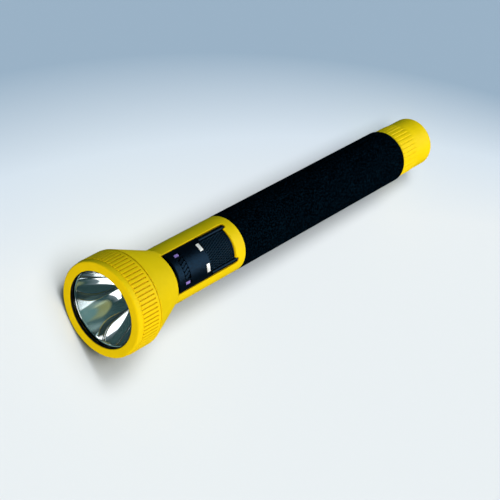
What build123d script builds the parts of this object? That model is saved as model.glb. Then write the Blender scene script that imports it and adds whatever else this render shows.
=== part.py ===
"""Firefighter's flashlight: a rechargeable light with a flared head and a foam-covered barrel.

Units are millimetres. The origin is the centre of the tail cap's flat end. +X runs along the
barrel's axis to the lens and +Z points out through the switch. Angles about the barrel's axis
are measured from the switch's centre line, positive towards +Y. Most pieces are turned, so
their outlines are lists of (x, radius) points.
"""
from build123d import *
import math
import os

# Overall sizes
LENGTH = 328.0
HEAD_R = 31.1
TUBE_R = 18.7
SLEEVE_R = 18.8
TAIL_R = 17.9
SEAT_GAP = 0.3

# Face cap: the screwed ring that holds the lens
APERTURE_R = 24.8
LIP_DEPTH = 1.1
LIP_EDGE_R = 0.5
FACE_EDGE_R = 2.8
FACE_BAND_R = 30.65
FACE_RIB_START = LENGTH - 4.5
FACE_RIB_END = LENGTH - 17.6
FACE_CAP_REAR = LENGTH - 19.1
FACE_RIBS = 72
FACE_BORE_R = 28.5
FACE_PITCH = 3.0

# Barrel: cone, collar, tube and the two screwed necks
CONE_FRONT = FACE_CAP_REAR - 2 * SEAT_GAP
CONE_REAR = 278.0
COLLAR_REAR = 215.4
UNDER_SLEEVE_R = 16.5
BORE_R = 13.4
BARREL_REAR = 14.0
SLEEVE_REAR = 38.3
FACE_NECK_R = 27.4
FACE_NECK_BORE_R = 25.8
FACE_NECK_FRONT = LENGTH - 6.0
TAIL_NECK_R = 15.2
THREAD_HEIGHT = 0.65
O_RING_R = 0.8
O_RING_RISE = 0.12
O_RING_GROOVE = 1.8
FACE_O_RING_X = CONE_FRONT + 1.9
TAIL_O_RING_X = 34.6
TAIL_PITCH = 2.5

# Tail cap
TAIL_RIBS = 36
TAIL_FLOOR_R = 17.5
TAIL_EDGE_R = 4.0
TAIL_WALL = 3.5
TAIL_BORE_R = 16.25
TAIL_FRONT = SLEEVE_REAR - SEAT_GAP

# Optics
FOCAL_LENGTH = 5.5
REFLECTOR_R = 24.2
REFLECTOR_WALL = 1.8
REFLECTOR_NECK_R = 6.4
LENS_R = 27.6
LENS_FRONT = LENGTH - 2.2
LENS_THICKNESS = 1.8
GASKET_BORE_R = APERTURE_R - 0.5
GASKET_SLEEVE_FRONT = LENGTH - 0.6
FLANGE_THICKNESS = 1.3
FLANGE_FRONT = LENS_FRONT - LENS_THICKNESS - 0.05
BEAD_LENGTH = 0.75
BEAD_RISE = 0.9
VERTEX_X = FLANGE_FRONT - BEAD_LENGTH - REFLECTOR_R ** 2 / (4 * FOCAL_LENGTH)
BULB_R = 4.8
BULB_LENGTH = 17.5
BULB_BASE_R = 5.0
BULB_SEAT_X = 291.0

# Switch plate, button and charging contacts
RECESS_R = 15.0
RECESS_FRONT = 280.8
RECESS_REAR = 224.7
RECESS_ANGLE = 45.0
PLATE_R = 18.2
PLATE_ANGLE = 43.5
PLATE_FRONT = 277.4
PLATE_FOOT_FRONT = 279.9
PLATE_FOOT_R = 16.0
PLATE_REAR = 225.2
PLATE_BEVEL = 0.5
RAIL_R = 18.75
RAIL_FRONT = 247.4
RECESS_EDGE_R = 0.4
FINGER_TIP = 222.4
FINGER_R = 1.6
FINGER_GAP = 0.35
FINGER_ANGLE = 38.6
SLOT_ANGLE = 39.0
WINDOW_HALF = 10.0
WINDOW_FRONT = 248.8
WINDOW_LEDGE_R = 15.4
BUTTON_R = 17.85
BUTTON_THICKNESS = 1.2
BUTTON_GAP = 0.4
PLUNGER_X = 240.0
LABEL_X = (266.7, 272.1)
LABEL_ANGLE = 22.0
LABEL_DEPTH = 1.0
LABEL_BARS = 5
LABEL_PITCH = 7.8
CONTACT_X = (249.4, 252.0)
CONTACT_ANGLES = (14.0, 30.5)
PAD_X = (268.3, 271.9)
PAD_ANGLES = (26.6, 32.0)

# Battery stick: five sub-C cells in a wrap
CELLS = 5
CELL_R = 11.3
CELL_PITCH = 42.6
CELL_NUB = 0.8
WRAP_R = 11.75
BATTERY_REAR = 14.6
BATTERY_FRONT = BATTERY_REAR + CELLS * CELL_PITCH

# Switch module and bulb socket
MODULE_REAR = 231.5
MODULE_FRONT = 271.8
MODULE_R = 13.2
MODULE_TOP = 9.0
POCKET_R = 3.1
POCKET_FLOOR = 2.0
SOCKET_FRONT = 288.0
SOCKET_COUNTERBORE_R = 5.9


def turned(points):
    """A solid of revolution about the barrel's axis, from an (x, radius) outline."""
    return revolve(make_face(Polyline(*points, close=True)), Axis.X)


def ring(rear, front, inner, outer):
    return turned([(rear, inner), (front, inner), (front, outer), (rear, outer)])


def around(angle):
    """Turn a shape from the switch's centre line to an angle about the barrel's axis."""
    return Rot(X=-angle)


def sector(rear, front, inner, outer, low, high):
    """A curved block between two angles about the barrel's axis."""
    outline = make_face(
        Polyline((rear, inner), (front, inner), (front, outer), (rear, outer), close=True)
    )
    return Rot(X=90 - high) * revolve(outline, Axis.X, high - low)


def peg(x, angle, radius, inner, outer):
    """A round peg that points away from the barrel's axis."""
    return around(angle) * Pos(x, 0, (inner + outer) / 2) * Cylinder(radius, outer - inner)


def block(x, y, z):
    """A box from three (low, high) pairs."""
    size = [high - low for low, high in (x, y, z)]
    centre = [(low + high) / 2 for low, high in (x, y, z)]
    return Pos(*centre) * Box(*size)


def coil(radius, wire_r, pitch, height):
    """A spring standing on its end along Z."""
    path = Helix(pitch, height, radius)
    return sweep(Plane(origin=path @ 0, z_dir=path % 0) * Circle(wire_r), path, is_frenet=True)


def along_x(shape, x):
    """Lay a shape that stands along Z down along the barrel, starting at x."""
    return Pos(x, 0, 0) * Rot(Y=90) * shape


def thread(core_r, pitch, rear, front):
    """A raised right-hand thread on a neck, sunk a little into its core."""
    path = Helix(pitch, front - rear, core_r)
    root, crest = 0.3 * pitch, 0.12 * pitch
    start = Plane(origin=path @ 0, x_dir=(1, 0, 0), z_dir=(0, 1, 0))
    section = start * make_face(
        Polyline(
            (-0.2, root), (THREAD_HEIGHT, crest), (THREAD_HEIGHT, -crest), (-0.2, -root), close=True
        )
    )
    return along_x(sweep(section, path, is_frenet=True), rear)


def grooves(count, floor_r, outer_r, rear, front, floor_width, top_width):
    """Evenly spaced V-sided grooves along the axis, as one cutting tool."""
    half_floor, half_top = floor_width / 2, top_width / 2
    section = make_face(
        Polyline(
            (-half_floor, floor_r), (half_floor, floor_r), (half_top, outer_r), (-half_top, outer_r),
            close=True,
        )
    )
    one = Pos(rear, 0, 0) * extrude(Plane.YZ * section, front - rear)
    return [Rot(X=360 * index / count) * one for index in range(count)]


def cone_radius(x):
    return TUBE_R + (HEAD_R - TUBE_R) * (x - CONE_REAR) / (CONE_FRONT - CONE_REAR)


def recess():
    """The pocket in the barrel that takes the switch plate, with two slots for its fingers."""
    deep = cone_radius(RECESS_FRONT) + 2
    inside = RECESS_ANGLE - 3
    tool = sector(RECESS_REAR, RECESS_FRONT, RECESS_R, deep, -inside, inside)
    slot_r = FINGER_R + FINGER_GAP
    slot_x = FINGER_TIP - FINGER_GAP + slot_r
    for side in (-1, 1):
        slot = block((slot_x, RECESS_FRONT), (-slot_r, slot_r), (RECESS_R, deep))
        tool += around(side * SLOT_ANGLE) * slot
        tool += peg(slot_x, side * SLOT_ANGLE, slot_r, RECESS_R, deep)
    return tool


def round_recess_edge(body):
    """Round the edge where the pocket meets the barrel's outside."""
    def on_outside(edge):
        box = edge.bounding_box()
        inside = RECESS_FRONT + 0.1 > box.max.X and box.min.X > FINGER_TIP - 1 and box.min.Z > 11
        ends = [edge @ 0, edge @ 0.5, edge @ 1]
        return inside and all(math.hypot(p.Y, p.Z) > TUBE_R - 0.02 for p in ends)

    return fillet(body.edges().filter_by(on_outside), RECESS_EDGE_R)


def barrel_housing():
    half_groove = O_RING_GROOVE / 2
    groove_depth = O_RING_R - O_RING_RISE + 0.02
    edge = 0.7
    outline = [
        (BARREL_REAR, BORE_R),
        (BARREL_REAR, TAIL_NECK_R - 0.6),
        (BARREL_REAR + 0.6, TAIL_NECK_R),
        (TAIL_O_RING_X - half_groove, TAIL_NECK_R),
        (TAIL_O_RING_X - half_groove, TAIL_NECK_R - groove_depth),
        (TAIL_O_RING_X + half_groove, TAIL_NECK_R - groove_depth),
        (TAIL_O_RING_X + half_groove, TAIL_NECK_R),
        (SLEEVE_REAR, TAIL_NECK_R),
        (SLEEVE_REAR, UNDER_SLEEVE_R),
        (COLLAR_REAR, UNDER_SLEEVE_R),
        (COLLAR_REAR, TUBE_R - edge),
        (COLLAR_REAR + 0.3 * edge, TUBE_R - 0.3 * edge),
        (COLLAR_REAR + edge, TUBE_R),
        (CONE_REAR, TUBE_R),
        (CONE_FRONT - 0.3, HEAD_R - 0.12),
        (CONE_FRONT, HEAD_R - 0.4),
        (CONE_FRONT, FACE_NECK_R),
        (FACE_O_RING_X - half_groove, FACE_NECK_R),
        (FACE_O_RING_X - half_groove, FACE_NECK_R - groove_depth),
        (FACE_O_RING_X + half_groove, FACE_NECK_R - groove_depth),
        (FACE_O_RING_X + half_groove, FACE_NECK_R),
        (FACE_NECK_FRONT - 0.5, FACE_NECK_R),
        (FACE_NECK_FRONT, FACE_NECK_R - 0.5),
        (FACE_NECK_FRONT, FACE_NECK_BORE_R),
        (306.0, FACE_NECK_BORE_R),
        (282.0, BORE_R),
    ]
    body = round_recess_edge(turned(outline) - recess())
    body -= block((PLUNGER_X - 6, PLUNGER_X + 6), (-5, 5), (5, RECESS_R + 1))
    for side in (-1, 1):
        body -= Pos(sum(CONTACT_X) / 2, side * 6.8, RECESS_R - 1) * Cylinder(1.2, 8)
        body -= peg(262.0, side * 25, 1.4, BORE_R - 1, RECESS_R + 1)
    for angle in (45, 135, 225, 315):
        body += around(angle) * block((30, 212), (-1, 1), (WRAP_R + 0.35, BORE_R + 0.5))
    body += thread(TAIL_NECK_R, TAIL_PITCH, 17.5, 30.5)
    body += thread(FACE_NECK_R, FACE_PITCH, 312.6, 317.4)
    return body


def grip_sleeve():
    round_r = 0.9
    section = make_face(
        Polyline(
            (SLEEVE_REAR, UNDER_SLEEVE_R), (COLLAR_REAR, UNDER_SLEEVE_R),
            (COLLAR_REAR, SLEEVE_R), (SLEEVE_REAR, SLEEVE_R),
            close=True,
        )
    )
    corners = section.vertices().filter_by(lambda v: v.Y > SLEEVE_R - 0.1)
    return revolve(fillet(corners, round_r), Axis.X)


def face_cap():
    edge_centre = (LENGTH - FACE_EDGE_R, FACE_BAND_R - FACE_EDGE_R)
    slant = FACE_EDGE_R * math.sqrt(0.5)
    line = Polyline(
        (LENGTH, edge_centre[1]),
        (LENGTH, APERTURE_R + LIP_EDGE_R),
        (LENGTH - 0.3 * LIP_EDGE_R, APERTURE_R + 0.3 * LIP_EDGE_R),
        (LENGTH - LIP_EDGE_R, APERTURE_R),
        (LENGTH - LIP_DEPTH, APERTURE_R),
        (LENGTH - LIP_DEPTH, FACE_BORE_R),
        (FACE_CAP_REAR, FACE_BORE_R),
        (FACE_CAP_REAR, HEAD_R - 0.4),
        (FACE_CAP_REAR + 0.4, HEAD_R),
        (FACE_RIB_START - 0.2, HEAD_R),
        (FACE_RIB_START, HEAD_R - 0.2),
        (FACE_RIB_START, FACE_BAND_R),
        (edge_centre[0], FACE_BAND_R),
    )
    arc = ThreePointArc(line @ 1, (edge_centre[0] + slant, edge_centre[1] + slant), line @ 0)
    cap = revolve(make_face([line, arc]), Axis.X)
    return cap - grooves(
        FACE_RIBS, FACE_BAND_R - 0.05, HEAD_R + 0.1, FACE_RIB_END, FACE_RIB_START + 1, 0.75, 1.3
    )


def tail_cap():
    centre = (TAIL_EDGE_R, TAIL_FLOOR_R - TAIL_EDGE_R)
    slant = TAIL_EDGE_R * math.sqrt(0.5)
    line = Polyline(
        (0, centre[1]),
        (0, 0),
        (TAIL_WALL, 0),
        (TAIL_WALL, BORE_R + 0.2),
        (BARREL_REAR - 1.1, BORE_R + 0.2),
        (BARREL_REAR - 1.1, TAIL_BORE_R),
        (TAIL_FRONT, TAIL_BORE_R),
        (TAIL_FRONT, TAIL_R - 0.6),
        (TAIL_FRONT - 0.8, TAIL_R),
        (24.5, TAIL_R),
        (21.5, TAIL_FLOOR_R + 0.16),
        (17.5, TAIL_FLOOR_R),
        (centre[0], TAIL_FLOOR_R),
    )
    arc = ThreePointArc(line @ 1, (centre[0] - slant, centre[1] + slant), line @ 0)
    cap = revolve(make_face([line, arc]), Axis.X)
    return cap - grooves(
        TAIL_RIBS, TAIL_FLOOR_R - 0.02, TAIL_R + 0.1, 17.0, TAIL_FRONT - 1.2, 1.1, 1.8
    )


def seal_ring(x, neck_r):
    """An O-ring in its groove round a neck."""
    return revolve(Pos(x, neck_r + O_RING_RISE) * Circle(O_RING_R), Axis.X)


def lens():
    rear, edge = LENS_FRONT - LENS_THICKNESS, 0.4
    return turned([
        (rear, 0),
        (LENS_FRONT, 0),
        (LENS_FRONT, LENS_R - edge),
        (LENS_FRONT - edge, LENS_R),
        (rear + edge, LENS_R),
        (rear, LENS_R - edge),
    ])


def reflector():
    """A spun parabolic dish with a rolled mouth, a rim flange and a neck that clears the bulb."""
    def bowl(shift, inner_r, outer_r):
        start = (VERTEX_X - shift + inner_r ** 2 / (4 * FOCAL_LENGTH), inner_r)
        bend = (VERTEX_X - shift + inner_r * outer_r / (4 * FOCAL_LENGTH), (inner_r + outer_r) / 2)
        end = (VERTEX_X - shift + outer_r ** 2 / (4 * FOCAL_LENGTH), outer_r)
        return Bezier(start, bend, end)

    flange_rear = FLANGE_FRONT - FLANGE_THICKNESS
    neck_rear = SOCKET_FRONT + 2.2
    neck_outer = REFLECTOR_NECK_R + 1.4
    rim_outer = math.sqrt(4 * FOCAL_LENGTH * (flange_rear - VERTEX_X + REFLECTOR_WALL))
    inside = bowl(0, REFLECTOR_NECK_R, REFLECTOR_R)
    outside = bowl(REFLECTOR_WALL, neck_outer, rim_outer)
    bead_end = (FLANGE_FRONT, REFLECTOR_R + BEAD_RISE)
    bead = Bezier(inside @ 1, (FLANGE_FRONT - 0.1 * BEAD_LENGTH, REFLECTOR_R + 0.3 * BEAD_RISE), bead_end)
    front = Polyline(bead_end, (FLANGE_FRONT, LENS_R), (flange_rear, LENS_R), outside @ 1)
    back = Polyline(
        outside @ 0, (neck_rear, neck_outer), (neck_rear, REFLECTOR_NECK_R), inside @ 0
    )
    return revolve(make_face([inside, bead, front, outside, back]), Axis.X)


def bulb_base():
    """Round metal base with a locating flange and two pins."""
    seat_x = BULB_SEAT_X
    flange = seat_x - 3.0
    base = turned([
        (seat_x - 6.4, 0),
        (seat_x, 0),
        (seat_x, BULB_BASE_R),
        (flange, BULB_BASE_R),
        (flange, BULB_BASE_R + 0.8),
        (flange - 0.8, BULB_BASE_R + 0.8),
        (flange - 0.8, BULB_BASE_R),
        (seat_x - 6.4, BULB_BASE_R),
    ])
    for side in (-1, 1):
        base += Pos(0, side * 1.6, 0) * ring(seat_x - 12.4, seat_x - 6, 0, 0.5)
    return base


def bulb_envelope():
    """Thin glass capsule, open where it meets the base."""
    inner = BULB_R - 0.6
    dome_x = BULB_SEAT_X + BULB_LENGTH - BULB_R
    line = Polyline((dome_x + inner, 0), (dome_x + BULB_R, 0))
    outer_arc = CenterArc((dome_x, 0), BULB_R, 0, 90)
    foot = Polyline((dome_x, BULB_R), (BULB_SEAT_X, BULB_R), (BULB_SEAT_X, inner), (dome_x, inner))
    inner_arc = CenterArc((dome_x, 0), inner, 0, 90)
    return revolve(make_face([line, outer_arc, foot, inner_arc]), Axis.X)


def bulb_filament():
    """Two support wires with a short coil across their tips, at the reflector's focus."""
    focus = VERTEX_X + FOCAL_LENGTH
    coil_wire = Rot(X=90) * coil(0.42, 0.11, 0.34, 3.0)
    filament = [Pos(focus, 1.5, 0) * coil_wire]
    for side in (-1, 1):
        wire = Pos(0, side * 1.85, 0) * ring(BULB_SEAT_X + 0.02, focus + 0.3, 0, 0.16)
        filament.append(wire)
    return filament


def bulb_socket():
    pins_x = BULB_SEAT_X - 6.4
    socket = turned([
        (MODULE_FRONT + 0.2, 0),
        (pins_x - 0.1, 0),
        (pins_x - 0.1, BULB_BASE_R + 0.1),
        (SOCKET_FRONT - 0.85, BULB_BASE_R + 0.1),
        (SOCKET_FRONT - 0.85, SOCKET_COUNTERBORE_R),
        (SOCKET_FRONT, SOCKET_COUNTERBORE_R),
        (SOCKET_FRONT, 8.5),
        (279.0, 8.5),
        (276.5, MODULE_R),
        (MODULE_FRONT + 0.2, MODULE_R),
    ])
    for side in (-1, 1):
        socket -= Pos(0, side * 1.6, 0) * ring(pins_x - 8, pins_x + 1, 0, 0.6)
    return socket


def bulb_retainer():
    """Knurled nut that holds the bulb's flange down on the socket."""
    nut = ring(SOCKET_FRONT + 0.05, SOCKET_FRONT + 1.8, BULB_BASE_R + 0.1, 8.3)
    notches = [around(60 * i) * block((SOCKET_FRONT, SOCKET_FRONT + 2), (-0.8, 0.8), (7.6, 9))
               for i in range(6)]
    return nut - notches


def plate_rail(side, window):
    """A raised half-round strip beside the button, ending in a round tip."""
    tip_x = FINGER_TIP + FINGER_R
    crest = RAIL_R - FINGER_R
    length = RAIL_FRONT - tip_x
    strip = Pos(tip_x + length / 2, 0, crest) * Rot(Y=90) * Cylinder(FINGER_R, length)
    strip += Pos(tip_x, 0, crest) * Sphere(FINGER_R)
    strip += block((tip_x, RAIL_FRONT), (-FINGER_R, FINGER_R), (RECESS_R, crest))
    rail = around(side * FINGER_ANGLE) * strip
    rail += peg(tip_x, side * FINGER_ANGLE, FINGER_R, RECESS_R, crest)
    return (rail & ring(FINGER_TIP - 1, RAIL_FRONT, RECESS_R + 0.15, RAIL_R + 1)) - window


def switch_plate():
    window = block((FINGER_TIP - 1, WINDOW_FRONT), (-WINDOW_HALF, WINDOW_HALF), (5, 25))
    window -= ring(FINGER_TIP - 2, WINDOW_FRONT + 1, 0, WINDOW_LEDGE_R)
    plate = sector(
        RAIL_FRONT - 0.5, PLATE_FRONT, RECESS_R + 0.15, PLATE_R, -PLATE_ANGLE, PLATE_ANGLE
    )
    rim = plate.edges().filter_by(GeomType.CIRCLE).sort_by(Axis.X)[-2:].sort_by(SortBy.RADIUS)[-1]
    plate = chamfer(rim, PLATE_BEVEL)
    plate += sector(
        PLATE_FRONT - 1, PLATE_FOOT_FRONT, RECESS_R + 0.15, PLATE_FOOT_R, -PLATE_ANGLE, PLATE_ANGLE
    )
    plate -= window
    plate -= sector(*LABEL_X, PLATE_R - LABEL_DEPTH, PLATE_R + 1, -LABEL_ANGLE, LABEL_ANGLE)
    for side in (-1, 1):
        plate += plate_rail(side, window)
        plate += peg(262.0, side * 25, 1.3, BORE_R + 0.1, RECESS_R + 0.5)
        low, high = sorted(side * angle for angle in CONTACT_ANGLES)
        plate -= sector(
            CONTACT_X[0] - 0.35, CONTACT_X[1] + 0.35, PLATE_R - 1.5, PLATE_R + 1, low - 1.1, high + 1.1
        )
        plate -= Pos(sum(CONTACT_X) / 2, side * 6.8, PLATE_R - 3) * Cylinder(1.1, 6)
        low, high = sorted(side * angle for angle in PAD_ANGLES)
        plate -= sector(LABEL_X[0], LABEL_X[1], PLATE_R - 0.6, PLATE_R + 1, low - 0.5, high + 0.5)
    return plate + label_bars()


def label_bars():
    """A row of plain slanted bars, raised in the label's recess."""
    middle = sum(LABEL_X) / 2
    bars = []
    for index in range(LABEL_BARS):
        angle = (index - (LABEL_BARS - 1) / 2) * LABEL_PITCH
        bar = Pos(middle, 0, PLATE_R - 0.55) * Rot(Z=28) * Box(4.8, 1.6, 1.0)
        bars.append(around(angle) * bar)
    return bars


def switch_button():
    """Curved rubber-faced pad with flat sides, so that it can move straight in."""
    inner = BUTTON_R - BUTTON_THICKNESS
    half = WINDOW_HALF - BUTTON_GAP
    pad = ring(PLATE_REAR + BUTTON_GAP, WINDOW_FRONT - BUTTON_GAP, inner, BUTTON_R)
    pad = pad & block((PLATE_REAR, WINDOW_FRONT), (-half, half), (0, 25))
    stem_seat = Pos(PLUNGER_X, 0, inner - 0.4) * Cylinder(3.4, 1.6)
    return pad + (stem_seat & ring(PLATE_REAR, WINDOW_FRONT, inner - 1.0, BUTTON_R - 0.2))


def switch_plunger():
    """Stem under the button, with a shoulder that sits on the spring."""
    top = BUTTON_R - BUTTON_THICKNESS - 1.0
    stem = Pos(PLUNGER_X, 0, 0) * (
        Pos(0, 0, (top + 8.2) / 2) * Cylinder(2.0, top - 8.2) + Pos(0, 0, 8.6) * Cylinder(2.7, 0.8)
    )
    return stem & ring(PLATE_REAR, WINDOW_FRONT, 0, top - 0.02)


def switch_module():
    """Moulded block in the barrel that carries the switch's spring and contacts."""
    body = ring(MODULE_REAR, MODULE_FRONT, 0, MODULE_R)
    body -= block((MODULE_REAR - 1, MODULE_FRONT + 1), (-20, 20), (MODULE_TOP, 20))
    depth = MODULE_TOP - POCKET_FLOOR
    body -= Pos(PLUNGER_X, 0, POCKET_FLOOR + depth / 2 + 0.5) * Cylinder(POCKET_R, depth + 1)
    body -= block((PLUNGER_X, MODULE_FRONT + 1), (-0.9, 0.9), (MODULE_TOP - 2, MODULE_TOP + 1))
    body -= block((MODULE_REAR - 1, MODULE_FRONT + 1), (-2.7, 2.7), (-20, -MODULE_R + 1.1))
    return body


def switch_spring():
    spring = coil(2.1, 0.25, 1.15, 5.3)
    return Pos(PLUNGER_X, 0, POCKET_FLOOR + 0.4) * spring


def contact_blades():
    """Two flat brass strips on top of the module, from the charging pins to the bulb socket."""
    return [
        block((CONTACT_X[0] - 2, MODULE_FRONT), sorted((side * 5.3, side * 8.3)),
              (MODULE_TOP, MODULE_TOP + 0.5))
        for side in (-1, 1)
    ]


def charge_contacts():
    """Two nickel bars let into the switch plate."""
    bars = []
    for side in (-1, 1):
        low, high = sorted(side * angle for angle in CONTACT_ANGLES)
        bars.append(sector(*CONTACT_X, PLATE_R - 1.45, PLATE_R + 0.12, low, high))
    return bars


def charge_pins():
    """Two pins that join the charging contacts to the brass strips."""
    middle = sum(CONTACT_X) / 2
    bottom = MODULE_TOP + 0.5
    pins = []
    for side in (-1, 1):
        pin = Pos(middle, side * 6.8, (bottom + PLATE_R) / 2) * Cylinder(0.9, PLATE_R - bottom)
        pins.append(pin & ring(CONTACT_X[0] - 1, CONTACT_X[1] + 1, 0, PLATE_R - 1.5))
    return pins


def indicator_pads():
    """Two small square pads in pockets beside the label."""
    pads = []
    for side in (-1, 1):
        low, high = sorted(side * angle for angle in PAD_ANGLES)
        pads.append(sector(*PAD_X, PLATE_R - 0.58, PLATE_R - 0.02, low, high))
    return pads


def front_contact():
    """Dished brass contact between the battery's tip and the switch module."""
    tip = BATTERY_FRONT + 0.05
    return turned([
        (tip, 0),
        (tip, 3.0),
        (MODULE_REAR - 0.5, 5.0),
        (MODULE_REAR - 0.5, 7.0),
        (MODULE_REAR - 0.02, 7.0),
        (MODULE_REAR - 0.02, 4.4),
        (tip + 0.5, 2.6),
        (tip + 0.5, 0),
    ])


def battery_cell(index):
    rear = BATTERY_REAR + index * CELL_PITCH
    shoulder = rear + CELL_PITCH - CELL_NUB
    return turned([
        (rear, 0),
        (shoulder + CELL_NUB, 0),
        (shoulder + CELL_NUB, 4.0),
        (shoulder, 4.0),
        (shoulder, 9.6),
        (shoulder - 0.6, 10.2),
        (shoulder - 2.2, 10.2),
        (shoulder - 3.0, CELL_R),
        (rear + 0.6, CELL_R),
        (rear, CELL_R - 0.6),
    ])


def battery_wrap():
    """Plastic wrap round the cells, turned in over both ends."""
    rear, front = BATTERY_REAR - 0.35, BATTERY_FRONT - CELL_NUB + 0.35
    inner = CELL_R + 0.05
    return turned([
        (rear, 8.0),
        (rear, WRAP_R),
        (front, WRAP_R),
        (front, 7.5),
        (front - 0.3, 7.5),
        (front - 0.3, inner),
        (rear + 0.3, inner),
        (rear + 0.3, 8.0),
    ])


def tail_contact_plate():
    """Dished plate at the bottom of the tail cap, under the spring."""
    rear = TAIL_WALL + SEAT_GAP
    return turned([
        (rear, 0),
        (rear + 0.6, 0),
        (rear + 0.6, 12.0),
        (rear + 1.8, 12.2),
        (rear + 1.8, 12.9),
        (rear, 12.7),
    ])


def tail_spring():
    rear = TAIL_WALL + SEAT_GAP + 0.62
    wire = 0.65
    front = BATTERY_REAR - 0.35 - SEAT_GAP
    return along_x(coil(9.4, wire, 2.1, front - rear - 2 * wire), rear + wire)


def conductor_strip():
    """Flat strip along the bottom of the bore, from the tail to the switch module."""
    return sector(BARREL_REAR + 0.5, MODULE_REAR + 6, BORE_R - 0.5, BORE_R - 0.05, 170.5, 189.5)


def spare_bulb_holder():
    rear = TAIL_WALL + SEAT_GAP + 0.62
    return turned([
        (rear, 0),
        (rear, 6.6),
        (rear + 5.0, 6.0),
        (rear + 5.0, 3.3),
        (rear + 1.0, 3.3),
        (rear + 1.0, 0),
    ])


def spare_bulb():
    rear = TAIL_WALL + SEAT_GAP + 1.65
    base = ring(rear, rear + 4.5, 0, 3.2)
    dome_x = rear + 5.4
    capsule = Pos(dome_x, 0, 0) * Sphere(2.4) + ring(rear + 4.5, dome_x, 0, 2.4)
    return base + capsule


def lens_gasket():
    """Black L-shaped ring: a flange behind the cap's lip and a sleeve that lines the aperture."""
    flange_front = LENGTH - LIP_DEPTH - SEAT_GAP - 0.05
    rear = LENS_FRONT + 0.05
    sleeve_r = APERTURE_R - 0.1
    return turned([
        (rear, GASKET_BORE_R),
        (GASKET_SLEEVE_FRONT, GASKET_BORE_R),
        (GASKET_SLEEVE_FRONT, sleeve_r),
        (flange_front, sleeve_r),
        (flange_front, 27.9),
        (rear, 27.9),
    ])


NODES = {
    "barrel_housing": barrel_housing(),
    "grip_sleeve": grip_sleeve(),
    "face_cap": face_cap(),
    "face_cap_o_ring": seal_ring(FACE_O_RING_X, FACE_NECK_R),
    "lens": lens(),
    "lens_gasket": lens_gasket(),
    "reflector": reflector(),
    "bulb_envelope": bulb_envelope(),
    "bulb_filament": bulb_filament(),
    "bulb_base": bulb_base(),
    "bulb_retainer": bulb_retainer(),
    "bulb_socket": bulb_socket(),
    "switch_plate": switch_plate(),
    "switch_button": switch_button(),
    "switch_plunger": switch_plunger(),
    "switch_spring": switch_spring(),
    "switch_module": switch_module(),
    "contact_blades": contact_blades(),
    "charge_contacts": charge_contacts(),
    "charge_pins": charge_pins(),
    "indicator_pads": indicator_pads(),
    "front_contact": front_contact(),
    "battery_wrap": battery_wrap(),
    "conductor_strip": conductor_strip(),
    "tail_cap": tail_cap(),
    "tail_cap_o_ring": seal_ring(TAIL_O_RING_X, TAIL_NECK_R),
    "tail_contact_plate": tail_contact_plate(),
    "tail_spring": tail_spring(),
    "spare_bulb_holder": spare_bulb_holder(),
    "spare_bulb": spare_bulb(),
}
for number in range(CELLS):
    NODES[f"battery_cell_{number + 1}"] = battery_cell(number)


def solids_of(shape):
    """Every solid of a shape, or of a list of shapes."""
    shapes = shape if isinstance(shape, list) else [shape]
    return [solid for item in shapes for solid in item.solids()]


os.makedirs("parts", exist_ok=True)
for name, shape in NODES.items():
    solids = solids_of(shape)
    export_step(solids[0] if len(solids) == 1 else Compound(solids), f"parts/{name}.step")
    print(name, len(solids), round(sum(solid.volume for solid in solids), 1))
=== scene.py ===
"""Looks for a firefighter's flashlight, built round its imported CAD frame.

Everything is in metres unless a name says otherwise. +X runs along the barrel's axis to the lens
and +Z points out through the switch. Angles about the axis are measured from the switch's centre
line, positive towards +Y.
"""
import math

import bmesh
import bpy
import numpy as np
from mathutils import Matrix, Vector


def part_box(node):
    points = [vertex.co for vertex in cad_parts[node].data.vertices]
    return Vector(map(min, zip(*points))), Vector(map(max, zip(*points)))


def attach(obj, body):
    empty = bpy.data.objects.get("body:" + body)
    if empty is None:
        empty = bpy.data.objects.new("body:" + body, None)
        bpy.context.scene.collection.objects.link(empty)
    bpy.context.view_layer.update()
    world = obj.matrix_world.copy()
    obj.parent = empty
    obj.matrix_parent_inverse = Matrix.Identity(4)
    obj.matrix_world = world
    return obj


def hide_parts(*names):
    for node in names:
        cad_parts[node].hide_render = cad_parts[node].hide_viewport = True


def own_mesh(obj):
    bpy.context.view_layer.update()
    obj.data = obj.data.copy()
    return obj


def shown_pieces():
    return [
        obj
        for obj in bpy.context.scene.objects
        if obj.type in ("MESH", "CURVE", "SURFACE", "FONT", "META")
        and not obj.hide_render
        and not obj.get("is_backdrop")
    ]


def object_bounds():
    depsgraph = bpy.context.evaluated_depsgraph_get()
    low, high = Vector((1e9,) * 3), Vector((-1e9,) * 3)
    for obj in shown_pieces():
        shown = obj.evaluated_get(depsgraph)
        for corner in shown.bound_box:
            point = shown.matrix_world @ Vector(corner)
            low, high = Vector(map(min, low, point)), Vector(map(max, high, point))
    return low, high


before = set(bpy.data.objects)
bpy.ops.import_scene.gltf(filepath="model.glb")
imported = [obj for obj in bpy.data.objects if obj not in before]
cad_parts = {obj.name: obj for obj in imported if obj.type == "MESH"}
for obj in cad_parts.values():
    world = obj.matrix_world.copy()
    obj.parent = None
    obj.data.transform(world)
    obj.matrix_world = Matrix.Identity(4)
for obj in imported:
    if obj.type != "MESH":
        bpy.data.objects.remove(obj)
cad_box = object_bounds()

MM = 0.001

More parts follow.
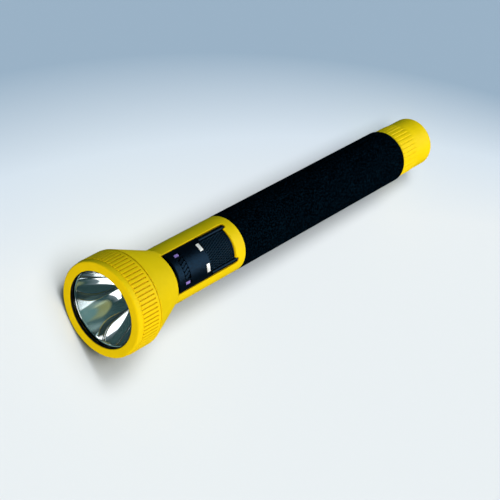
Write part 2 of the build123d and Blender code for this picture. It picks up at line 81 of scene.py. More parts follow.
# Face cap. Its front falls back by FACE_FALL between the lip and the rounded outer edge.
APERTURE_R = 24.8 * MM
LIP_DEPTH = 1.1 * MM
LIP_EDGE_R = 0.5 * MM
FACE_BORE_R = 28.5 * MM
FACE_BAND_R = 30.65 * MM
FACE_BAND_LENGTH = 4.5 * MM
FACE_EDGE_R = 1.2 * MM
FACE_FALL = 0.12 * MM
FACE_REAR_EDGE_R = 0.35 * MM
FACE_STEP_EDGE_R = 0.2 * MM
FACE_STEP_FILLET = 0.12 * MM
FACE_RIBS = 72
FACE_RIB_DEPTH = 0.75 * MM
FACE_RIB_REAR = 17.6 * MM
FACE_RIB_FADE = 0.5 * MM
FACE_GROOVE_FLOOR = 0.2 * MM
FACE_GROOVE_MOUTH = 0.52 * MM
FACE_COLUMNS_MM = (0, 0.16, 0.25, 0.32, 0.39, 0.47, 0.56, 0.75)

# Tail cap
TAIL_RIBS = 36
TAIL_RIB_HEIGHT = 0.4 * MM
TAIL_RIB_FADE = (17.5 * MM, 23.5 * MM)
TAIL_RIB_FOOT = 0.3 * MM
TAIL_RIB_CROWN = 0.75 * MM
TAIL_COLUMNS_MM = (0, 0.25, 0.36, 0.46, 0.56, 0.68, 0.82, 1.05)
TAIL_RIM = 1.2 * MM
TAIL_RIM_FADE = 0.3 * MM
TAIL_EDGE_R = 4.0 * MM
TAIL_CHAMFER = (0.8 * MM, 0.6 * MM)
TAIL_WALL = 3.5 * MM
TAIL_STEP_X = 12.9 * MM
TAIL_STEP_R = 13.6 * MM
TAIL_BORE_R = 16.25 * MM

# Reflector
FOCAL_LENGTH = 5.5 * MM
REFLECTOR_R = 24.2 * MM
REFLECTOR_NECK_R = 6.4 * MM
REFLECTOR_WALL = 1.8 * MM
NECK_WALL = 1.4 * MM
FLANGE_THICKNESS = 1.3 * MM
BEAD_LENGTH = 0.75 * MM
BEAD_RISE = 0.9 * MM

# Foam sleeve
SLEEVE_BORE_R = 16.52 * MM
SLEEVE_EDGE_R = 0.9 * MM
FOAM_GRAIN = 0.035 * MM
FOAM_SEED = 7
FOAM_SPREAD = 0.6

# Switch button
BUTTON_THICKNESS = 1.2 * MM
BUTTON_EDGE_R = 0.35 * MM
KNURL_LENGTH = 4.4 * MM
KNURL_WIDTH = 1.54 * MM
KNURL_DEPTH = 0.55 * MM
KNURL_BORDER = (0.5 * MM, 0.9 * MM)

# Floor: it lies FLOOR_GAP below the head at a point FLOOR_TOUCH behind the lens end
FLOOR_TOUCH = 4 * MM
FLOOR_GAP = 0.1 * MM
FLOOR_REACH = 6.0
# The floor's colour goes from FLOOR_NEAR to FLOOR_FAR: painted shade of light falling off towards -Y and
# both ends.
FLOOR_NEAR = (0.71, 0.74, 0.755)
FLOOR_MIDDLE = (0.59, 0.66, 0.73)
FLOOR_FAR = (0.28, 0.375, 0.475)
FLOOR_SHADE_SPAN = (-0.155, -0.03)
FLOOR_SKEW = 0.11
FLOOR_BOW = -0.5

# Camera
CAMERA_TARGET = Vector((0.196, 0.012, 0.0))
CAMERA_DISTANCE = 1.024
CAMERA_AZIMUTH = math.radians(82.26)
CAMERA_ELEVATION = math.radians(45.47)
CAMERA_ROLL = math.radians(71.57)
CAMERA_LENS_MM = 114.77
SENSOR_MM = 36.0


# Mesh helpers

def polar(x, radius, angle):
    """Places from the distance along the axis, the distance from it and the angle about it."""
    return np.stack(np.broadcast_arrays(x, radius * np.sin(angle), radius * np.cos(angle)), -1)


def smooth(low, high, value):
    """0 up to low, 1 from high on, and an S between them."""
    share = np.clip((np.asarray(value) - low) / (high - low), 0, 1)
    return share * share * (3 - 2 * share)


def arc(x, radius, size, start, end, steps):
    """Points of a round edge in the (x, radius) plane, with angles in degrees from +X."""
    turns = np.radians(np.linspace(start, end, steps))
    return [(x + size * math.cos(t), radius + size * math.sin(t)) for t in turns]


def level(start, end, count, radius):
    """Points of a straight stretch of an outline, where bumps on it need rings to follow."""
    return [(x, radius) for x in np.linspace(start, end, count)]


def parabola(vertex, start, end, count):
    """Points of the dish's curve, from one radius to another."""
    return [(vertex + r * r / (4 * FOCAL_LENGTH), r) for r in np.linspace(start, end, count)]


def new_piece(name, vertices, faces, sharp_degrees=35):
    """A closed mesh object with outward normals, merged poles and smooth shading."""
    mesh = bpy.data.meshes.new(name)
    mesh.from_pydata(vertices.reshape(-1, 3).tolist(), [], faces.tolist())
    shape = bmesh.new()
    shape.from_mesh(mesh)
    bmesh.ops.remove_doubles(shape, verts=shape.verts, dist=1e-7)
    bmesh.ops.recalc_face_normals(shape, faces=shape.faces)
    shape.to_mesh(mesh)
    shape.free()
    mesh.polygons.foreach_set("use_smooth", [True] * len(mesh.polygons))
    mesh.set_sharp_from_angle(angle=math.radians(sharp_degrees))
    piece = bpy.data.objects.new(name, mesh)
    bpy.context.scene.collection.objects.link(piece)
    return piece


def grid_faces(rows, columns, close_rows, close_columns):
    """Quads between neighbouring points of a grid that was laid out row by row."""
    row = np.arange(rows if close_rows else rows - 1)[:, None]
    column = np.arange(columns if close_columns else columns - 1)[None, :]
    next_row, next_column = (row + 1) % rows, (column + 1) % columns
    corners = [
        row * columns + column,
        row * columns + next_column,
        next_row * columns + next_column,
        next_row * columns + column,
    ]
    return np.stack(corners, -1).reshape(-1, 4)


def turned_piece(name, outline, angles, height=None):
    """A turned solid from an outline that closes on itself. height(x, radius, angle) is added to radius."""
    outline = np.array(outline)
    x, radius = outline[:, :1], outline[:, 1:]
    if height is not None:
        radius = radius + height(x, radius, angles[None, :])
    points = polar(x, radius, angles[None, :])
    faces = grid_faces(len(outline), len(angles), True, True)
    return new_piece(name, points, faces)


def rib_angles(count, radius, steps):
    """Angles of the columns of points round a ribbed ring, from their steps past a groove's middle."""
    pitch = 2 * math.pi / count
    offsets = np.concatenate([-np.array(steps[:0:-1]), np.array(steps)]) / radius
    offsets = np.append(offsets, pitch / 2)
    return (np.arange(count)[:, None] * pitch + offsets[None, :]).ravel()


def across_ribs(count, radius, angle):
    """Distance round the ring from the nearest groove's centre line."""
    pitch = 2 * math.pi / count
    return np.abs((angle + pitch / 2) % pitch - pitch / 2) * radius


# Pieces that stand for CAD nodes

def face_cap_shell():
    """The ribbed ring that holds the lens. Its grooves end at the smooth band round the front."""
    low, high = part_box("face_cap")
    rear, front, head_r = low.x, high.x, high.z
    band = front - FACE_BAND_LENGTH
    rib_rear = front - FACE_RIB_REAR
    edge_x, edge_r = front - FACE_EDGE_R, FACE_BAND_R - FACE_EDGE_R
    edge = arc(edge_x, edge_r, FACE_EDGE_R, 90, 0, 14)
    outline = [
        *arc(front - LIP_EDGE_R, APERTURE_R + LIP_EDGE_R, LIP_EDGE_R, -90, 0, 7)[::-1],
        (front - LIP_DEPTH, APERTURE_R),
        (front - LIP_DEPTH, FACE_BORE_R),
        (rear, FACE_BORE_R),
        *arc(rear + FACE_REAR_EDGE_R, head_r - FACE_REAR_EDGE_R, FACE_REAR_EDGE_R, 180, 90, 6),
        *level(rib_rear - 0.25 * MM, rib_rear + 0.75 * MM, 7, head_r),
        *level(rib_rear + 2 * MM, band - 1.5 * MM, 5, head_r),
        *level(band - 0.6 * MM, band - 0.22 * MM, 4, head_r),
        *arc(band - FACE_STEP_EDGE_R, head_r - FACE_STEP_EDGE_R, FACE_STEP_EDGE_R, 80, 0, 4),
        (band, FACE_BAND_R + FACE_STEP_FILLET),
        (band + FACE_STEP_FILLET, FACE_BAND_R),
        *[(x - FACE_FALL * (x - edge_x) / FACE_EDGE_R, r) for x, r in edge],
    ]
    steps = [x * MM for x in FACE_COLUMNS_MM]

    def groove(x, radius, angle):
        across = across_ribs(FACE_RIBS, head_r, angle)
        wall = 1 - smooth(FACE_GROOVE_FLOOR, FACE_GROOVE_MOUTH, across)
        reach = smooth(rib_rear, rib_rear + FACE_RIB_FADE, x) * (x < band + 0.01 * MM)
        outside = np.clip((radius - FACE_BAND_R) / (head_r - FACE_BAND_R), 0, 1)
        return -FACE_RIB_DEPTH * wall * reach * outside

    return turned_piece("face_cap_shell", outline, rib_angles(FACE_RIBS, head_r, steps), groove)


def tail_cap_shell():
    """The cup that closes the tail. Its ribs rise slowly out of it and join at the open rim."""
    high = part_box("tail_cap")[1]
    front, crest_r = high.x, high.z
    body_r = crest_r - TAIL_RIB_HEIGHT
    rim = front - TAIL_RIM
    outline = [
        (0, 0),
        (0, 6 * MM),
        (0, 11 * MM),
        *arc(TAIL_EDGE_R, body_r - TAIL_EDGE_R, TAIL_EDGE_R, 180, 90, 16),
        *level(9 * MM, 16 * MM, 4, body_r),
        *level(17 * MM, 26 * MM, 19, body_r),
        *level(28 * MM, rim - 2 * TAIL_RIM_FADE, 4, body_r),
        *level(rim - TAIL_RIM_FADE, rim + 0.2 * MM, 5, body_r),
        (front - TAIL_CHAMFER[0], body_r),
        (front, body_r - TAIL_CHAMFER[1]),
        (front, TAIL_BORE_R),
        (TAIL_STEP_X, TAIL_BORE_R),
        (TAIL_STEP_X, TAIL_STEP_R),
        (TAIL_WALL, TAIL_STEP_R),
        (TAIL_WALL, 0),
    ]
    steps = [x * MM for x in TAIL_COLUMNS_MM]

    def rib(x, radius, angle):
        across = across_ribs(TAIL_RIBS, crest_r, angle)
        crown = smooth(TAIL_RIB_FOOT, TAIL_RIB_CROWN, across)
        ribs = np.maximum(crown, smooth(rim - TAIL_RIM_FADE, rim, x))
        reach = smooth(*TAIL_RIB_FADE, x)
        return TAIL_RIB_HEIGHT * ribs * reach * (radius > TAIL_BORE_R + 0.3 * MM)

    return turned_piece("tail_cap_shell", outline, rib_angles(TAIL_RIBS, crest_r, steps), rib)


def reflector_bowl():
    """The spun dish, smooth enough to mirror the lights cleanly."""
    low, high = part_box("reflector")
    flange_rear = high.x - FLANGE_THICKNESS
    vertex = high.x - BEAD_LENGTH - REFLECTOR_R ** 2 / (4 * FOCAL_LENGTH)
    back = vertex - REFLECTOR_WALL
    back_rim = math.sqrt(4 * FOCAL_LENGTH * (flange_rear - back))
    back_neck = REFLECTOR_NECK_R + NECK_WALL
    turns = np.linspace(0, math.pi / 2, 8)
    outline = [
        *parabola(vertex, REFLECTOR_NECK_R, REFLECTOR_R, 80),
        *[(high.x - BEAD_LENGTH * (1 - math.sin(t)), REFLECTOR_R + BEAD_RISE * (1 - math.cos(t)))
          for t in turns[1:]],
        (high.x, high.z),
        (flange_rear, high.z),
        *parabola(back, back_rim, back_neck, 30),
        (low.x, back_neck),
        (low.x, REFLECTOR_NECK_R),
    ]
    angles = np.linspace(0, 2 * math.pi, 240, endpoint=False)
    return turned_piece("reflector_bowl", outline, angles)


def foam_sleeve():
    """The grip, with the fine uneven skin of foam."""
    low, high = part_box("grip_sleeve")
    rear, front, outer_r = low.x, high.x, high.z - FOAM_GRAIN
    outline = [
        *arc(rear + SLEEVE_EDGE_R, outer_r - SLEEVE_EDGE_R, SLEEVE_EDGE_R, 180, 100, 6),
        *level(rear + SLEEVE_EDGE_R, front - SLEEVE_EDGE_R, 300, outer_r),
        *arc(front - SLEEVE_EDGE_R, outer_r - SLEEVE_EDGE_R, SLEEVE_EDGE_R, 80, 0, 6),
        (front, SLEEVE_BORE_R),
        (rear, SLEEVE_BORE_R),
    ]
    angles = np.linspace(0, 2 * math.pi, 300, endpoint=False)
    grain = np.random.default_rng(FOAM_SEED).normal(size=(len(outline), len(angles)))
    for axis in (0, 1):
        grain = grain + FOAM_SPREAD * (np.roll(grain, 1, axis) + np.roll(grain, -1, axis))
    grain = grain / np.abs(grain).max()

    def cells(x, radius, angle):
        return FOAM_GRAIN * grain * (radius > SLEEVE_BORE_R + MM)

    return turned_piece("foam_sleeve", outline, angles, cells)


def knurled_pad():
    """The button's pad: a curved plate with rounded edges and a raised diamond pattern."""
    low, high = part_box("switch_button")
    top_r = high.z
    half = high.y
    rows, columns = 191, 161
    middle_x, half_x = (low.x + high.x) / 2, (high.x - low.x) / 2
    x = np.linspace(-half_x, half_x, rows)[:, None]
    y = np.linspace(-half, half, columns)[None, :]
    inset = np.minimum(half_x - np.abs(x), half - np.abs(y))
    over = np.clip(BUTTON_EDGE_R - inset, 0, None)
    fall = BUTTON_EDGE_R - np.sqrt(np.clip(BUTTON_EDGE_R ** 2 - over ** 2, 0, None))
    around = top_r * np.arcsin(y / top_r)
    first = np.cos(math.pi * (x / KNURL_LENGTH + around / KNURL_WIDTH))
    second = np.cos(math.pi * (x / KNURL_LENGTH - around / KNURL_WIDTH))
    peaks = np.abs(first) * np.abs(second)
    border = smooth(*KNURL_BORDER, inset)
    surface_r = top_r - fall - KNURL_DEPTH * (1 - peaks) * border
    x_grid, y_grid = np.broadcast_arrays(x + middle_x, y)
    top = np.stack([x_grid, y_grid, np.sqrt(surface_r ** 2 - y_grid ** 2)], -1)
    under_r = top_r - BUTTON_THICKNESS
    under = np.stack([x_grid, y_grid, np.sqrt(under_r ** 2 - y_grid ** 2)], -1)
    sheet = grid_faces(rows, columns, False, False)
    count = rows * columns
    rim = np.array([
        *range(columns),
        *[row * columns + columns - 1 for row in range(1, rows)],
        *[(rows - 1) * columns + column for column in range(columns - 2, -1, -1)],
        *[row * columns for row in range(rows - 2, 0, -1)],
    ])
    after = np.roll(rim, -1)
    walls = np.stack([rim, after, after + count, rim + count], -1)
    faces = np.concatenate([sheet, sheet + count, walls])
    vertices = np.concatenate([top.reshape(-1, 3), under.reshape(-1, 3)])
    return new_piece("knurled_pad", vertices, faces, 50)


def switch_coil():
    """The switch's spring as a piece of its own, made from a copy of the CAD node's mesh."""
    coil = bpy.data.objects.new("switch_coil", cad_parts["switch_spring"].data.copy())
    coil.data.materials.clear()
    bpy.context.scene.collection.objects.link(coil)
    return coil


# Materials

class Nodes:
    """Adds shader nodes to a tree."""

    def __init__(self, tree, space):
        self.tree = tree
        self.space = tree.nodes.new("ShaderNodeTexCoord").outputs[space]

    def node(self, kind, inputs=None, **settings):
        made = self.tree.nodes.new(kind)
        for name, value in settings.items():
            setattr(made, name, value)
        for name, value in (inputs or {}).items():
            if isinstance(value, bpy.types.NodeSocket):
                self.tree.links.new(value, made.inputs[name])
            else:
                made.inputs[name].default_value = value
        return made

    def math(self, operation, *values):
        return self.node("ShaderNodeMath", dict(enumerate(values)), operation=operation).outputs[0]

    def noise(self, size, detail=3.0):
        """Noise whose features are about size metres across."""
        inputs = {"Vector": self.space, "Scale": 1 / size, "Detail": detail}
        return self.node("ShaderNodeTexNoise", inputs).outputs["Fac"]

    def cells(self, size):
        """Small cells about size metres across, lowest at their middles."""
        inputs = {"Vector": self.space, "Scale": 1 / size}
        return self.node("ShaderNodeTexVoronoi", inputs).outputs["Distance"]

    def ramp(self, value, *stops):
        """The colour for a value from 0 to 1, from stops of a position and a colour."""
        made = self.node("ShaderNodeValToRGB", {"Fac": value})
        points = made.color_ramp.elements
        while len(points) < len(stops):
            points.new(0.5)
        for point, (position, colour) in zip(points, stops):
            point.position = position
            point.color = (*colour, 1)
        return made.outputs["Color"]

    def range(self, value, low, high, start=0.3, end=0.7):
        """A value that goes from low to high as another goes from start to end."""
        inputs = {"Value": value, "From Min": start, "From Max": end, "To Min": low, "To Max": high}
        return self.node("ShaderNodeMapRange", inputs).outputs["Result"]


class Finish(Nodes):
    """A procedural material: one Principled shader fed with patterns in the part's own space."""

    def __init__(self, name, **sockets):
        self.material = bpy.data.materials.new(name)
        self.material.use_nodes = True
        super().__init__(self.material.node_tree, "Object")
        self.shader = self.tree.nodes["Principled BSDF"]
        for socket, value in sockets.items():
            self.shader.inputs[socket.replace("_", " ")].default_value = value

    def link(self, output, socket):
        self.tree.links.new(output, self.shader.inputs[socket])

    def colour(self, pattern, dark, light, start=0.35, end=0.65):
        self.link(self.ramp(pattern, (start, dark), (end, light)), "Base Color")
        return self

    def paint_groove_shade(self, reach, tint):
        """Paints shade into the base colour: darkens and tints it in grooves and seams narrower than reach,
        from ambient occlusion.
        """
        colour = self.shader.inputs["Base Color"].links[0].from_socket
        # Painted shade: the less open a spot is, the darker and more orange its colour.
        open_share = self.node("ShaderNodeAmbientOcclusion", {"Distance": reach}, samples=8).outputs["AO"]
        shade = self.ramp(open_share, (0.3, tint), (0.85, (1, 1, 1)))
        mixed = self.node("ShaderNodeMix", data_type="RGBA", blend_type="MULTIPLY")
        mixed.inputs["Factor"].default_value = 1.0
        self.tree.links.new(colour, mixed.inputs[6])
        self.tree.links.new(shade, mixed.inputs[7])
        self.link(mixed.outputs[2], "Base Color")
        return self

    def roughness(self, pattern, low, high):
        self.link(self.range(pattern, low, high), "Roughness")
        return self

    def bump(self, *layers):
        """Layers are (height pattern, depth in metres), laid over each other."""
        normal = None
        for height, depth in layers:
            inputs = {"Height": height, "Distance": depth, "Strength": 1.0}
            if normal is not None:
                inputs["Normal"] = normal
            normal = self.node("ShaderNodeBump", inputs).outputs["Normal"]
        self.link(normal, "Normal")
        return self


def moulded_nylon(name):
    finish = Finish(name, IOR=1.5, Specular_IOR_Level=0.03)
    tone = finish.noise(9 * MM)
    # The nylon's darker, orange grooves and seams are painted shade from ambient occlusion.
    finish.colour(tone, (0.83, 0.59, 0.0035), (0.87, 0.62, 0.004)).paint_groove_shade(1.5 * MM, (0.78, 0.66, 0.45))
    finish.roughness(finish.noise(1.3 * MM), 0.40, 0.5)
    return finish.bump((finish.noise(0.28 * MM, 2), 0.008 * MM), (finish.noise(14 * MM), 0.05 * MM))


def foam():
    finish = Finish("foam", Specular_IOR_Level=0.0)
    finish.colour(finish.noise(1.1 * MM, 2), (0.0, 0.0003, 0.0008), (0.0018, 0.0085, 0.0155), 0.44, 0.7)
    finish.roughness(finish.noise(0.8 * MM), 0.7, 0.9)
    return finish.bump((finish.cells(0.42 * MM), 0.05 * MM), (finish.noise(0.2 * MM), 0.02 * MM))


def rubber():
    finish = Finish("seal_rubber", Specular_IOR_Level=0.12)
    finish.colour(finish.noise(2.5 * MM), (0.003, 0.003, 0.0033), (0.005, 0.005, 0.0055))
    finish.roughness(finish.noise(0.9 * MM), 0.45, 0.6)
    return finish.bump((finish.noise(0.25 * MM), 0.01 * MM))


def satin_plate(name, depth, dark, light, rough):
    """The blue-black moulding round the switch, with a fine spark-eroded texture."""
    finish = Finish(name, Metallic=0.85, Specular_IOR_Level=0.05)
    finish.colour(finish.noise(1.2 * MM), dark, light)
    finish.roughness(finish.noise(0.7 * MM), *rough)
    return finish.bump((finish.cells(0.3 * MM), depth), (finish.noise(0.12 * MM), 0.5 * depth))


def metal(name, dark, light, rough=(0.2, 0.34), metallic=1.0):
    finish = Finish(name, Metallic=metallic)
    finish.colour(finish.noise(1.6 * MM), dark, light)
    finish.roughness(finish.noise(0.6 * MM), *rough)
    return finish.bump((finish.noise(0.18 * MM), 0.004 * MM))


def plain_moulding(name, dark, light, rough=(0.45, 0.6)):
    finish = Finish(name, Specular_IOR_Level=0.45)
    finish.colour(finish.noise(4 * MM), dark, light)
    finish.roughness(finish.noise(1.1 * MM), *rough)
    return finish.bump((finish.noise(0.3 * MM), 0.008 * MM))


def chrome():
    finish = Finish("chrome", Metallic=1.0)
    finish.colour(finish.noise(14 * MM), (0.86, 0.89, 0.9), (0.93, 0.95, 0.95))
    finish.roughness(finish.noise(5 * MM), 0.015, 0.035)
    return finish.bump((finish.noise(9 * MM, 1), 0.002 * MM))


def glass(name, tint, haze):
    """Thin clear glass: it lets light straight through and mirrors it more at a slant."""
    finish = Finish(name)
    tree = finish.tree
    clear = finish.node("ShaderNodeBsdfTransparent", {"Color": (*tint, 1)})
    haze_pattern = finish.range(finish.noise(6 * MM), 0.0, haze)
    gloss = finish.node("ShaderNodeBsdfGlossy", {"Roughness": haze_pattern})
    slant = finish.node("ShaderNodeLayerWeight", {"Blend": 0.5}).outputs["Facing"]
    least = 0.04
    mirrored = finish.math("MULTIPLY_ADD", finish.math("POWER", slant, 5.0), 1 - least, least)
    mixed = finish.node("ShaderNodeMixShader")
    tree.links.new(mirrored, mixed.inputs[0])
    tree.links.new(clear.outputs[0], mixed.inputs[1])
    tree.links.new(gloss.outputs[0], mixed.inputs[2])
    tree.links.new(mixed.outputs[0], tree.nodes["Material Output"].inputs["Surface"])
    tree.nodes.remove(finish.shader)
    return finish


FINISHES = {
    "yellow_nylon": moulded_nylon("moulded_nylon"),
    "yellow_nylon_cap": moulded_nylon("moulded_nylon_cap"),
    "black_foam": foam(),
    "black_rubber": rubber(),
    "clear_lens": glass("lens_glass", (0.985, 0.99, 0.985), 0.02),
    "bright_reflector": chrome(),
    "bulb_glass": glass("capsule_glass", (0.98, 0.98, 0.95), 0.02),
    "tungsten": metal("filament_tungsten", (0.2, 0.19, 0.18), (0.4, 0.38, 0.35)),
    "bulb_metal": metal("bulb_collar", (0.6, 0.57, 0.5), (0.75, 0.72, 0.66)),
    "brass_parts": metal("brass", (0.55, 0.36, 0.12), (0.72, 0.5, 0.2)),
    "black_moulding": plain_moulding("dark_moulding", (0.006, 0.006, 0.007), (0.014, 0.014, 0.016)),
    "blue_black_plate": satin_plate(
        "plate_moulding", 0.016 * MM, (0.0004, 0.0042, 0.0098), (0.0009, 0.0078, 0.0175), (0.35, 0.44)
    ),
    "button_rubber": satin_plate(
        "button_moulding", 0.01 * MM, (0.0012, 0.0085, 0.0175), (0.0020, 0.0130, 0.0260), (0.26, 0.34)
    ),
    "white_moulding": plain_moulding("white_moulded", (0.66, 0.66, 0.63), (0.78, 0.78, 0.75)),
    "spring_steel": metal("spring_wire", (0.42, 0.42, 0.43), (0.62, 0.62, 0.63)),
    "nickel_contacts": metal("nickel", (0.88, 0.88, 0.86), (0.96, 0.96, 0.95), (0.3, 0.4), 0.35),
    "violet_pads": plain_moulding("violet_pad", (0.2, 0.13, 0.45), (0.3, 0.2, 0.58)),
    "battery_wrap": plain_moulding("shrink_wrap", (0.012, 0.03, 0.09), (0.02, 0.045, 0.13), (0.2, 0.35)),
    "cell_can": metal("cell_steel", (0.5, 0.5, 0.5), (0.68, 0.68, 0.67)),
}


def dress_cad_nodes():
    """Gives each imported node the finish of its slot."""
    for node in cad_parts.values():
        for place in node.material_slots:
            place.material = FINISHES[place.material.name].material


def stand_in(piece, node, body, slot_name):
    """Gives a piece its finish and its body, and hides the CAD node that it stands for."""
    piece.data.materials.append(FINISHES[slot_name].material)
    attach(piece, body)
    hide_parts(node)


# The studio

def floor_material():
    """Pale paper with painted shade: its colour darkens to blue-grey towards -Y, and sooner towards both
    ends, where the light falls off.
    """
    finish = Finish("paper", Specular_IOR_Level=0.0, Roughness=0.9)
    place = finish.node("ShaderNodeSeparateXYZ", {"Vector": finish.space}).outputs
    across = finish.math("MULTIPLY_ADD", place["X"], FLOOR_SKEW, place["Y"])
    bowed = finish.math("MULTIPLY_ADD", finish.math("POWER", place["X"], 2.0), FLOOR_BOW, across)
    # Painted shade: the share of the far, darker colour.
    shade_share = finish.range(bowed, 1.0, 0.0, *FLOOR_SHADE_SPAN)
    tone = finish.ramp(shade_share, (0.0, FLOOR_NEAR), (0.5, FLOOR_MIDDLE), (1.0, FLOOR_FAR))
    finish.link(tone, "Base Color")
    return finish


def make_floor():
    """A flat sheet of pale paper, tilted so that the head and the tail cap both rest on it."""
    head_x, head_r = cad_box[1].x - FLOOR_TOUCH, cad_box[1].z
    tail_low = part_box("tail_cap")[1].z
    slope = math.atan2(head_r - tail_low, head_x)
    corners = [(x * FLOOR_REACH, y * FLOOR_REACH, 0) for x, y in ((-1, -1), (1, -1), (1, 1), (-1, 1))]
    mesh = bpy.data.meshes.new("floor")
    mesh.from_pydata(corners, [], [(0, 1, 2, 3)])
    floor = bpy.data.objects.new("floor", mesh)
    floor.location = (head_x, 0, -head_r - FLOOR_GAP)
    floor.rotation_euler = (0, slope, 0)
    bpy.context.scene.collection.objects.link(floor)
    mesh.materials.append(floor_material().material)
    floor.visible_diffuse = False
    floor.visible_glossy = False
    floor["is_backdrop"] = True
    return floor


def aim(thing, place, target):
    """Puts a lamp at a place and points it at a target."""
    thing.location = place
    thing.rotation_mode = "QUATERNION"
    thing.rotation_quaternion = (Vector(target) - Vector(place)).to_track_quat("-Z", "Y")


def softbox(name, place, size, watts, colour, target, receivers):
    """An area lamp that lights only its receivers."""
    lamp = bpy.data.lights.new(name, "AREA")
    lamp.shape = "RECTANGLE"
    lamp.size, lamp.size_y = size
    lamp.energy = watts
    lamp.color = colour
    made = bpy.data.objects.new(name, lamp)
    aim(made, place, target)
    bpy.context.scene.collection.objects.link(made)
    made.light_linking.receiver_collection = receivers
    return made


def sun(name, source, strength, degrees, receivers):
    """Even light over the whole floor, from a disc that looks so many degrees across."""
    lamp = bpy.data.lights.new(name, "SUN")
    lamp.energy = strength
    lamp.angle = math.radians(degrees)
    made = bpy.data.objects.new(name, lamp)
    aim(made, source, (0, 0, 0))
    bpy.context.scene.collection.objects.link(made)
    made.light_linking.receiver_collection = receivers


def toward(azimuth, elevation, distance):
    """Offset in a direction: azimuth in degrees from +X towards +Y, elevation above the axis."""
    azimuth, elevation = math.radians(azimuth), math.radians(elevation)
    flat = distance * math.cos(elevation)
    return Vector((flat * math.cos(azimuth), flat * math.sin(azimuth), distance * math.sin(elevation)))


def group(name, things):
    made = bpy.data.collections.new(name)
    for thing in things:
        made.objects.link(thing)
    return made


# The key lamp. Its place is the azimuth and elevation in degrees, and distance, from the lens.
KEY_PLACE = (21, 27.5, 1.1)
KEY_SIZE = (0.84, 0.39)
KEY_WATTS = 13.3
KEY_COLOUR = (1, 0.93, 0.86)

# The other lamps on the part: place, size, watts and colour. They point at LAMP_TARGET.
LAMPS = {
    "top": ((-0.56, 0.17, 0.77), (0.8, 0.75), 12.0, (0.97, 1, 1)),
    "side": ((0.2, -1.13, 0.4), (0.8, 0.6), 3.0, (0.7, 1, 1)),
    "far": ((0.05, 1.15, 0.25), (0.4, 0.6), 4.0, (1, 0.98, 0.9)),
}
LAMP_TARGET = (0.2, 0, 0)

# The floor's lamps: the direction that each shines from, its strength, and its width in degrees
SUNS = {
    "floor_key": ((0.2, -1.0, 2.28), 1.05, 18),
    "floor_dome": ((0.25, -0.15, 1.5), 2.65, 55),
}


def make_lights(floor):
    part = group("lit_part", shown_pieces())
    ground = group("lit_floor", [floor])
    lens = Vector((cad_box[1].x, 0, 0))
    key_place = lens + toward(*KEY_PLACE)
    key = softbox("key", key_place, KEY_SIZE, KEY_WATTS, KEY_COLOUR, lens, part)
    key.visible_glossy = False
    for name, (place, size, watts, colour) in LAMPS.items():
        softbox(name, place, size, watts, colour, LAMP_TARGET, part)
    for name, (source, strength, degrees) in SUNS.items():
        sun(name, source, strength, degrees, ground)


# What mirrors see: azimuth and elevation spans in degrees, the softness of the edges, and radiance
MIRRORED = {
    "window": ((0, 45), (18.5, 41), (1.5, 2), (2.9, 2.85, 2.8)),
    "window_glow": ((-5, 40), (30, 47), (3, 5), (0.2, 0.22, 0.25)),
    "gold_ceiling": ((-52, 34), (55, 69), (6, 2.5), (0.26, 0.255, 0.07)),
    "pale_ceiling": ((22, 62), (58, 69), (5, 3), (0.22, 0.28, 0.24)),
    "teal_ceiling": ((-80, 70), (69, 79), (6, 2), (0.085, 0.18, 0.17)),
    "white_flag": ((56, 84), (40, 69), (2.5, 3), (1.9, 2.05, 2.15)),
    "pale_wall": ((-90, -68), (38, 80), (5, 8), (0.3, 0.37, 0.36)),
    "floor_glow": ((-70, 70), (-60, -4), (8, 5), (0.2, 0.34, 0.34)),
}
# What they see elsewhere, what shows past the floor, and the dim light that falls on the part
MIRRORED_REST = (0.011, 0.034, 0.037, 1)
BACKDROP = (0.42, 0.54, 0.65, 1)
DIM_COLOUR = (0.4, 0.85, 1.0, 1)
DIM_STRENGTH = 0.055


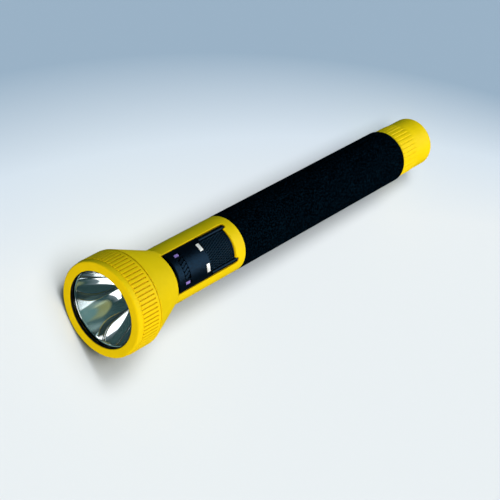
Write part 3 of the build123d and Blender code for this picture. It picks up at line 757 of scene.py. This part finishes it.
def make_world():
    """A dim studio for the part, with a window and ceiling for its mirrors, and a pale backdrop."""
    world = bpy.data.worlds.new("studio")
    bpy.context.scene.world = world
    world.use_nodes = True
    sky = Nodes(world.node_tree, "Generated")
    place = sky.node("ShaderNodeSeparateXYZ", {"Vector": sky.space}).outputs
    azimuth = sky.math("DEGREES", sky.math("ARCTAN2", place["Y"], place["X"]))
    elevation = sky.math("DEGREES", sky.math("ARCSINE", place["Z"]))
    seen = sky.node("ShaderNodeRGB").outputs[0]
    seen.default_value = MIRRORED_REST
    for across, up, soft, glow in MIRRORED.values():
        share = 1.0
        for angle, (low, high), edge in ((azimuth, across, soft[0]), (elevation, up, soft[1])):
            share = sky.math("MULTIPLY", share, sky.range(angle, 0.0, 1.0, low - edge, low + edge))
            share = sky.math("MULTIPLY", share, sky.range(angle, 1.0, 0.0, high - edge, high + edge))
        scaled = sky.node("ShaderNodeVectorMath", {0: glow, "Scale": share}, operation="SCALE")
        seen = sky.node("ShaderNodeVectorMath", {0: seen, 1: scaled.outputs[0]}, operation="ADD").outputs[0]
    dim = world.node_tree.nodes["Background"]
    dim.inputs["Color"].default_value = DIM_COLOUR
    dim.inputs["Strength"].default_value = DIM_STRENGTH
    shown = dim.outputs[0]
    path = sky.node("ShaderNodeLightPath").outputs
    for ray, colour in (("Is Glossy Ray", seen), ("Is Camera Ray", BACKDROP)):
        other = sky.node("ShaderNodeBackground", {"Color": colour})
        mixed = sky.node("ShaderNodeMixShader", {"Fac": path[ray]})
        world.node_tree.links.new(shown, mixed.inputs[1])
        world.node_tree.links.new(other.outputs[0], mixed.inputs[2])
        shown = mixed.outputs[0]
    world.node_tree.links.new(shown, world.node_tree.nodes["World Output"].inputs["Surface"])


def make_camera():
    camera = bpy.data.objects.new("camera", bpy.data.cameras.new("camera"))
    camera.data.lens = CAMERA_LENS_MM
    camera.data.sensor_width = SENSOR_MM
    bpy.context.scene.collection.objects.link(camera)
    back = Vector((
        math.sin(CAMERA_AZIMUTH) * math.cos(CAMERA_ELEVATION),
        -math.cos(CAMERA_AZIMUTH) * math.cos(CAMERA_ELEVATION),
        math.sin(CAMERA_ELEVATION),
    ))
    upright = (-back).to_track_quat("-Z", "Y")
    turn = Matrix.Rotation(CAMERA_ROLL, 4, "Z")
    place = Matrix.Translation(CAMERA_TARGET + back * CAMERA_DISTANCE)
    camera.matrix_world = place @ upright.to_matrix().to_4x4() @ turn
    bpy.context.scene.camera = camera


dress_cad_nodes()
stand_in(face_cap_shell(), "face_cap", "face_ring", "yellow_nylon_cap")
stand_in(tail_cap_shell(), "tail_cap", "tail_end", "yellow_nylon_cap")
stand_in(reflector_bowl(), "reflector", "optics", "bright_reflector")
stand_in(foam_sleeve(), "grip_sleeve", "barrel", "black_foam")
stand_in(knurled_pad(), "switch_button", "button", "button_rubber")
coil = switch_coil()
stand_in(coil, "switch_spring", "barrel", "spring_steel")
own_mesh(coil)
bpy.context.scene.view_settings.view_transform = "Standard"
make_world()
make_lights(make_floor())
make_camera()
